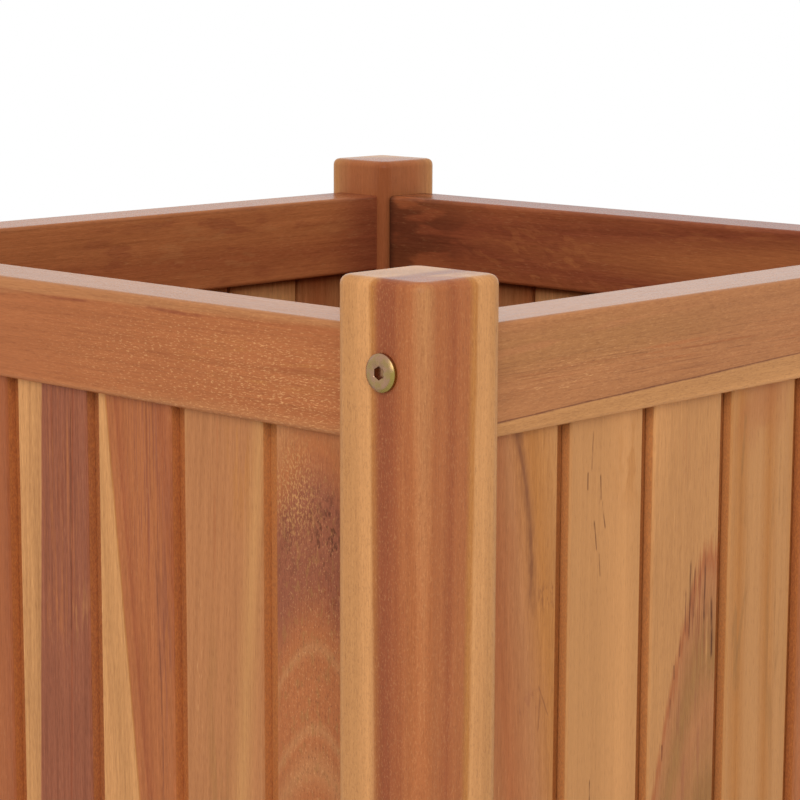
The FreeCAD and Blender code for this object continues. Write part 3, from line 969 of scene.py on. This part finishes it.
def metal_material(name, face_tone, rim_tone, roughness):
    """A plated metal, mottled, with another tone low on its rim and painted shade in its sockets.
    """
    material, t, shader = new_material(name)
    t.feed(shader["Metallic"], 1.0)
    place = t.node("TexCoord").outputs["Object"]
    film = t.marks(place, *FILM_SIZE, FILM_SEED, detail=3.0)
    film = t.rise(film, *FILM_LEVELS)
    speck = t.marks(place, *SPECK_SIZE, SPECK_SEED)
    turn = {0: t.node("NewGeometry").outputs["Normal"], 1: FILM_SIDE}
    side = t.node("VectorMath", turn, operation="DOT_PRODUCT")
    zone = t.node("Attribute", attribute_name=ZONE).outputs["Fac"]
    rim = t.product(t.rise(zone, 0.0, RIM_ZONE), t.rise(side.outputs["Value"], *FILM_TURNS))
    share = t.math("MULTIPLY_ADD", film, FILM_SHARE, rim, clamp=True)
    colour = t.mix(share, (*linear(face_tone), 1), (*linear(rim_tone), 1))
    # Painted shade: the socket walls turn dark, and the socket floor in part
    colour = t.mix(t.fall(zone, SOCKET_WALL_ZONE, 0.0), colour, (*linear("socket_shade"), 1))
    t.feed(shader["Base Color"], colour)
    t.feed(shader["Roughness"], t.swing(speck, SPECK_DULLNESS, roughness))
    return material


BOLT_STEPS = 48
RIM_SEGMENTS = 3
SOCKET_SIDES = 6
NEAR = 1e-6
# A face counts as flat when its normal has this much along the bolt's axis
FLAT_FROM = 0.5


def runs_round(edge, radius, height):
    """Whether an edge runs round the bolt's axis at a radius and a height."""
    places = [(vert.co.xy.length, vert.co.z) for vert in edge.verts]
    return all(abs(x - radius) < NEAR and abs(z - height) < NEAR for x, z in places)


def bolt_shape(sizes):
    """One connector bolt along Z, with its head's underside at zero and its shank pointing down."""
    shape = bmesh.new()
    socket_radius = sizes.socket / 2 / math.cos(math.pi / SOCKET_SIDES)
    face_radius = sizes.head_radius - sizes.bevel
    top = sizes.head_height
    rim_height = top - sizes.bevel_drop
    outline = (
        (socket_radius + sizes.socket_mouth, top),
        (face_radius, top),
        (sizes.head_radius, rim_height),
        (sizes.head_radius, 0),
        (sizes.shank_radius, 0),
        (sizes.shank_radius, sizes.tip - sizes.shank_length),
        (sizes.shank_radius - sizes.tip, -sizes.shank_length),
        (0, -sizes.shank_length),
    )
    points = [shape.verts.new((radius, 0, height)) for radius, height in outline]
    edges = [shape.edges.new(pair) for pair in zip(points, points[1:])]
    bmesh.ops.spin(
        shape, geom=points + edges, axis=(0, 0, 1), angle=math.tau, steps=BOLT_STEPS, use_merge=True
    )
    bmesh.ops.remove_doubles(shape, verts=shape.verts, dist=NEAR)
    rim = [
        edge
        for edge in shape.edges
        if runs_round(edge, face_radius, top) or runs_round(edge, sizes.head_radius, rim_height)
    ]
    looks = {"segments": RIM_SEGMENTS, "profile": 0.5, "affect": "EDGES", "material": -1}
    bmesh.ops.bevel(shape, geom=rim, offset=sizes.softness, **looks)
    mouth = [edge for edge in shape.edges if edge.is_boundary]
    place = Matrix.Translation((0, 0, top - sizes.socket_mouth))
    bmesh.ops.create_circle(shape, segments=SOCKET_SIDES, radius=socket_radius, matrix=place)
    sides = [edge for edge in shape.edges if edge.is_wire]
    bmesh.ops.subdivide_edges(shape, edges=sides, cuts=BOLT_STEPS // SOCKET_SIDES - 1)
    bmesh.ops.bridge_loops(shape, edges=mouth + [edge for edge in shape.edges if edge.is_wire])
    sides = [edge for edge in shape.edges if edge.is_boundary]
    wall = bmesh.ops.extrude_edge_only(shape, edges=sides)["geom"]
    bottom = [part for part in wall if isinstance(part, bmesh.types.BMVert)]
    bmesh.ops.translate(shape, verts=bottom, vec=(0, 0, sizes.socket_mouth - sizes.socket_depth))
    bmesh.ops.contextual_create(shape, geom=[edge for edge in shape.edges if edge.is_boundary])
    bmesh.ops.recalc_face_normals(shape, faces=shape.faces)
    layer = shape.faces.layers.float.new(ZONE)
    for face in shape.faces:
        middle = face.calc_center_median()
        if 0 < middle.z < top - sizes.socket_mouth / 2 and middle.xy.length < socket_radius:
            is_flat = abs(face.normal.z) > FLAT_FROM
            face[layer] = SOCKET_FLOOR_ZONE if is_flat else SOCKET_WALL_ZONE
        elif middle.z > 0 and middle.xy.length > face_radius:
            face[layer] = RIM_ZONE
    return shape


SHARP_ANGLE = math.radians(28)
BOLT_ROUGHNESS = 0.28
NUT_ROUGHNESS = 0.35
SCREW_ROUGHNESS = 0.32


class GARDEN_BED_OT_bolts(bpy.types.Operator):
    """Replace the plain connector bolts by finer ones"""

    bl_idname = "garden_bed.bolts"
    bl_label = "Bolts"

    def execute(self, context):
        sizes = settings().bolts
        low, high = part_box("connector_bolts")
        pattern = new_mesh("bolt_pattern", bolt_shape(sizes))
        bolts = bmesh.new()
        front, back = low.y + sizes.head_height, high.y - sizes.head_height
        for y, turn in ((front, math.pi / 2), (back, -math.pi / 2)):
            outwards = Matrix.Rotation(turn, 4, "X")
            for x in (low.x + sizes.head_radius, high.x - sizes.head_radius):
                for z in (low.z + sizes.head_radius, high.z - sizes.head_radius):
                    first = len(bolts.verts)
                    bolts.from_mesh(pattern)
                    bolts.verts.ensure_lookup_table()
                    place = Matrix.Translation((x, y, z)) @ outwards
                    bmesh.ops.transform(bolts, matrix=place, verts=bolts.verts[first:])
        mesh = new_mesh("fine_connector_bolts", bolts)
        bpy.data.meshes.remove(pattern)
        mesh.shade_smooth()
        mesh.set_sharp_from_angle(angle=SHARP_ANGLE)
        zinc = metal_material("yellow_zinc_film", "zinc", "zinc_rim", BOLT_ROUGHNESS)
        mesh.materials.append(zinc)
        piece = add_object("fine_connector_bolts", mesh)
        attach(piece, BODY)
        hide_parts("connector_bolts")
        return {"FINISHED"}


class GARDEN_BED_OT_hardware(bpy.types.Operator):
    """Finish nuts and screws"""

    bl_idname = "garden_bed.hardware"
    bl_label = "Hardware"

    def execute(self, context):
        dress("insert_nuts", metal_material("insert_zinc", "zinc", "zinc_rim", NUT_ROUGHNESS))
        steel = metal_material("screw_steel", "steel", "steel", SCREW_ROUGHNESS)
        for name in ("slat_screws", "cleat_screws"):
            dress(name, steel)
        return {"FINISHED"}


def seen_directly(t):
    """1 for the camera, a reflection or a clear pane, and 0 for light that falls on a piece."""
    path = t.node("LightPath").outputs
    seen = t.math("MAXIMUM", path["Is Camera Ray"], path["Is Glossy Ray"])
    return t.math("MAXIMUM", seen, path["Is Transmission Ray"])


SENSOR_WIDTH = 36
FLOOR_SIDES = 96
FLOOR_ROUGHNESS = 0.8


class GARDEN_BED_OT_stage(bpy.types.Operator):
    """Set up the camera, the light and the floor"""

    bl_idname = "garden_bed.stage"
    bl_label = "Stage"

    def execute(self, context):
        stage = settings().stage
        scene = context.scene
        scene.view_settings.view_transform = "Standard"
        self.camera(scene, stage)
        self.light(scene, stage)
        self.floor(stage)
        return {"FINISHED"}

    def camera(self, scene, stage):
        camera = add_object("camera", bpy.data.cameras.new("camera"))
        camera.data.sensor_width = SENSOR_WIDTH
        camera.data.lens = stage.lens
        turn = Matrix.Rotation(stage.camera_yaw, 4, "Z")
        turn = turn @ Matrix.Rotation(math.pi / 2 - stage.camera_pitch, 4, "X")
        turn = turn @ Matrix.Rotation(stage.camera_roll, 4, "Z")
        camera.matrix_world = Matrix.Translation(stage.camera_place) @ turn
        scene.camera = camera

    def light(self, scene, stage):
        world = bpy.data.worlds.new("studio")
        world.use_nodes = True
        scene.world = world
        t = Tree(world.node_tree)
        background = world.node_tree.nodes["Background"]
        background.inputs["Color"].default_value = WHITE
        level = t.math("MULTIPLY_ADD", seen_directly(t), 1 - stage.sky, stage.sky)
        t.feed(background.inputs["Strength"], level)
        lamp = bpy.data.lights.new("front_lamp", "AREA")
        lamp.energy = stage.key_power
        lamp.size = stage.key_size
        key = add_object("front_lamp", lamp)
        place = Vector(stage.key_place)
        aim = (Vector(CAD_BOX[0]) + Vector(CAD_BOX[1])) / 2
        turn = (aim - place).to_track_quat("-Z", "Y").to_matrix().to_4x4()
        key.matrix_world = Matrix.Translation(place) @ turn

    def floor(self, stage):
        shape = bmesh.new()
        bmesh.ops.create_circle(
            shape, cap_ends=True, segments=FLOOR_SIDES, radius=stage.floor_radius
        )
        mesh = new_mesh("floor", shape)
        floor = add_object("floor", mesh)
        material, t, shader = new_material("floor")
        colour = Color(stage.floor_colour).from_srgb_to_scene_linear()
        t.feed(shader["Base Color"], (*colour, 1))
        t.feed(shader["Roughness"], FLOOR_ROUGHNESS)
        white = t.node("Emission", {"Color": WHITE, "Strength": 1.0})
        place = {0: t.node("TexCoord").outputs["Object"]}
        distance = t.node("VectorMath", place, operation="LENGTH").outputs["Value"]
        far = t.product(t.rise(distance, stage.fade_start, stage.fade_end), seen_directly(t))
        nodes = material.node_tree.nodes
        near = nodes["Principled BSDF"].outputs[0]
        blend = t.node("MixShader", {0: far, 1: near, 2: white.outputs[0]})
        t.feed(nodes["Material Output"].inputs["Surface"], blend.outputs[0])
        mesh.materials.append(material)


OPERATORS = (
    GARDEN_BED_OT_posts,
    GARDEN_BED_OT_rails,
    GARDEN_BED_OT_boards,
    GARDEN_BED_OT_floor,
    GARDEN_BED_OT_bolts,
    GARDEN_BED_OT_hardware,
    GARDEN_BED_OT_stage,
)


class GARDEN_BED_PT_panel(bpy.types.Panel):
    """Lists the settings and steps of the garden bed"""

    bl_label = "Garden Bed"
    bl_space_type = "VIEW_3D"
    bl_region_type = "UI"
    bl_category = "Garden Bed"

    def draw(self, context):
        for group in ("tones", "grain", "bolts", "stage"):
            box = self.layout.box()
            values = getattr(settings(), group)
            for name in values.bl_rna.properties.keys():
                if name not in ("rna_type", "name"):
                    box.prop(values, name)
        for operator in OPERATORS:
            self.layout.operator(operator.bl_idname)


CLASSES = (
    GardenBedTones,
    GardenBedGrain,
    GardenBedBolts,
    GardenBedStage,
    GardenBedSettings,
    *OPERATORS,
    GARDEN_BED_PT_panel,
)


def register():
    for item in CLASSES:
        bpy.utils.register_class(item)
    bpy.types.Scene.garden_bed = bpy.props.PointerProperty(type=GardenBedSettings)


def unregister():
    del bpy.types.Scene.garden_bed
    for item in reversed(CLASSES):
        bpy.utils.unregister_class(item)


def main():
    register()
    for operator in OPERATORS:
        module, name = operator.bl_idname.split(".")
        getattr(getattr(bpy.ops, module), name)()


if __name__ == "__main__":
    main()
